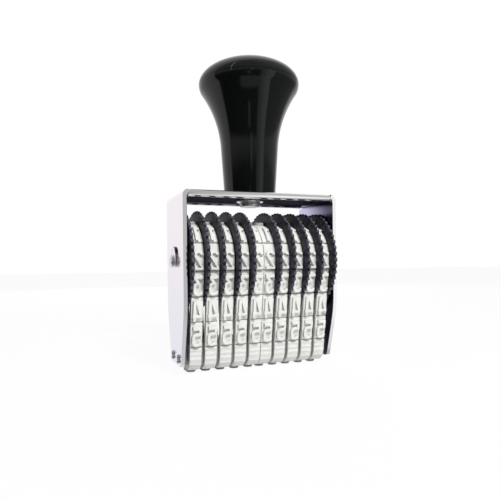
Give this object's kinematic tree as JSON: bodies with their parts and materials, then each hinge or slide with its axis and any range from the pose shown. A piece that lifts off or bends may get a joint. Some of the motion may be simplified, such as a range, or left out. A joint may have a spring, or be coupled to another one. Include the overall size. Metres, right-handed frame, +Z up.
{
  "type": "band numbering stamp",
  "caption": "Hand numbering stamp: rubber figure bands on thumb wheels in a bent steel frame, with a metal platen below and a black knob handle on top.",
  "frame": {"origin": "under the middle of the stamp, on the plane of the printing figures, halfway between the cheeks", "axes": "+Z up through the handle, +X along the wheel axle to the right as seen from the front, -Y towards the front, where the figures 1 to 5 stand upright"},
  "size_m": [0.0442, 0.0272, 0.0826],
  "materials": {
    "nickel_plate": "bright nickel plating with a faint lilac cast, polished",
    "bright_steel": "bright turned steel",
    "spring_steel": "bright spring steel, blued only on its cut edges",
    "zinc_casting": "satin zinc casting",
    "handle_plastic": "high gloss black",
    "brass_insert": "turned brass",
    "wheel_plastic": "semi-gloss black with a violet cast",
    "type_rubber": "matt off-white rubber"
  },
  "bodies": {
    "stamp": {"frame_bracket": "nickel_plate", "axle": "bright_steel", "axle_clip_left": "spring_steel", "axle_clip_right": "spring_steel", "side_washer_left": "bright_steel", "side_washer_right": "bright_steel", "platen": "zinc_casting", "handle_body": "handle_plastic", "handle_cap": "handle_plastic", "handle_bush": "brass_insert", "handle_screw": "bright_steel", "screw_washer": "bright_steel", "band_01": "type_rubber", "band_02": "type_rubber", "band_03": "type_rubber", "band_04": "type_rubber", "band_05": "type_rubber", "band_06": "type_rubber", "band_07": "type_rubber", "band_08": "type_rubber", "band_09": "type_rubber", "band_10": "type_rubber"},
    "wheel_01": {"wheel_01": "wheel_plastic"},
    "wheel_02": {"wheel_02": "wheel_plastic"},
    "wheel_03": {"wheel_03": "wheel_plastic"},
    "wheel_04": {"wheel_04": "wheel_plastic"},
    "wheel_05": {"wheel_05": "wheel_plastic"},
    "wheel_06": {"wheel_06": "wheel_plastic"},
    "wheel_07": {"wheel_07": "wheel_plastic"},
    "wheel_08": {"wheel_08": "wheel_plastic"},
    "wheel_09": {"wheel_09": "wheel_plastic"},
    "wheel_10": {"wheel_10": "wheel_plastic"}
  },
  "joints": [
    {"name": "wheel_01_turn", "type": "hinge", "parent": "stamp", "child": "wheel_01", "pos_m": [0, 0, 0.0285], "axis": [1, 0, 0], "continuous": true},
    {"name": "wheel_02_turn", "type": "hinge", "parent": "stamp", "child": "wheel_02", "pos_m": [0, 0, 0.0285], "axis": [1, 0, 0], "continuous": true},
    {"name": "wheel_03_turn", "type": "hinge", "parent": "stamp", "child": "wheel_03", "pos_m": [0, 0, 0.0285], "axis": [1, 0, 0], "continuous": true},
    {"name": "wheel_04_turn", "type": "hinge", "parent": "stamp", "child": "wheel_04", "pos_m": [0, 0, 0.0285], "axis": [1, 0, 0], "continuous": true},
    {"name": "wheel_05_turn", "type": "hinge", "parent": "stamp", "child": "wheel_05", "pos_m": [0, 0, 0.0285], "axis": [1, 0, 0], "continuous": true},
    {"name": "wheel_06_turn", "type": "hinge", "parent": "stamp", "child": "wheel_06", "pos_m": [0, 0, 0.0285], "axis": [1, 0, 0], "continuous": true},
    {"name": "wheel_07_turn", "type": "hinge", "parent": "stamp", "child": "wheel_07", "pos_m": [0, 0, 0.0285], "axis": [1, 0, 0], "continuous": true},
    {"name": "wheel_08_turn", "type": "hinge", "parent": "stamp", "child": "wheel_08", "pos_m": [0, 0, 0.0285], "axis": [1, 0, 0], "continuous": true},
    {"name": "wheel_09_turn", "type": "hinge", "parent": "stamp", "child": "wheel_09", "pos_m": [0, 0, 0.0285], "axis": [1, 0, 0], "continuous": true},
    {"name": "wheel_10_turn", "type": "hinge", "parent": "stamp", "child": "wheel_10", "pos_m": [0, 0, 0.0285], "axis": [1, 0, 0], "continuous": true}
  ]
}
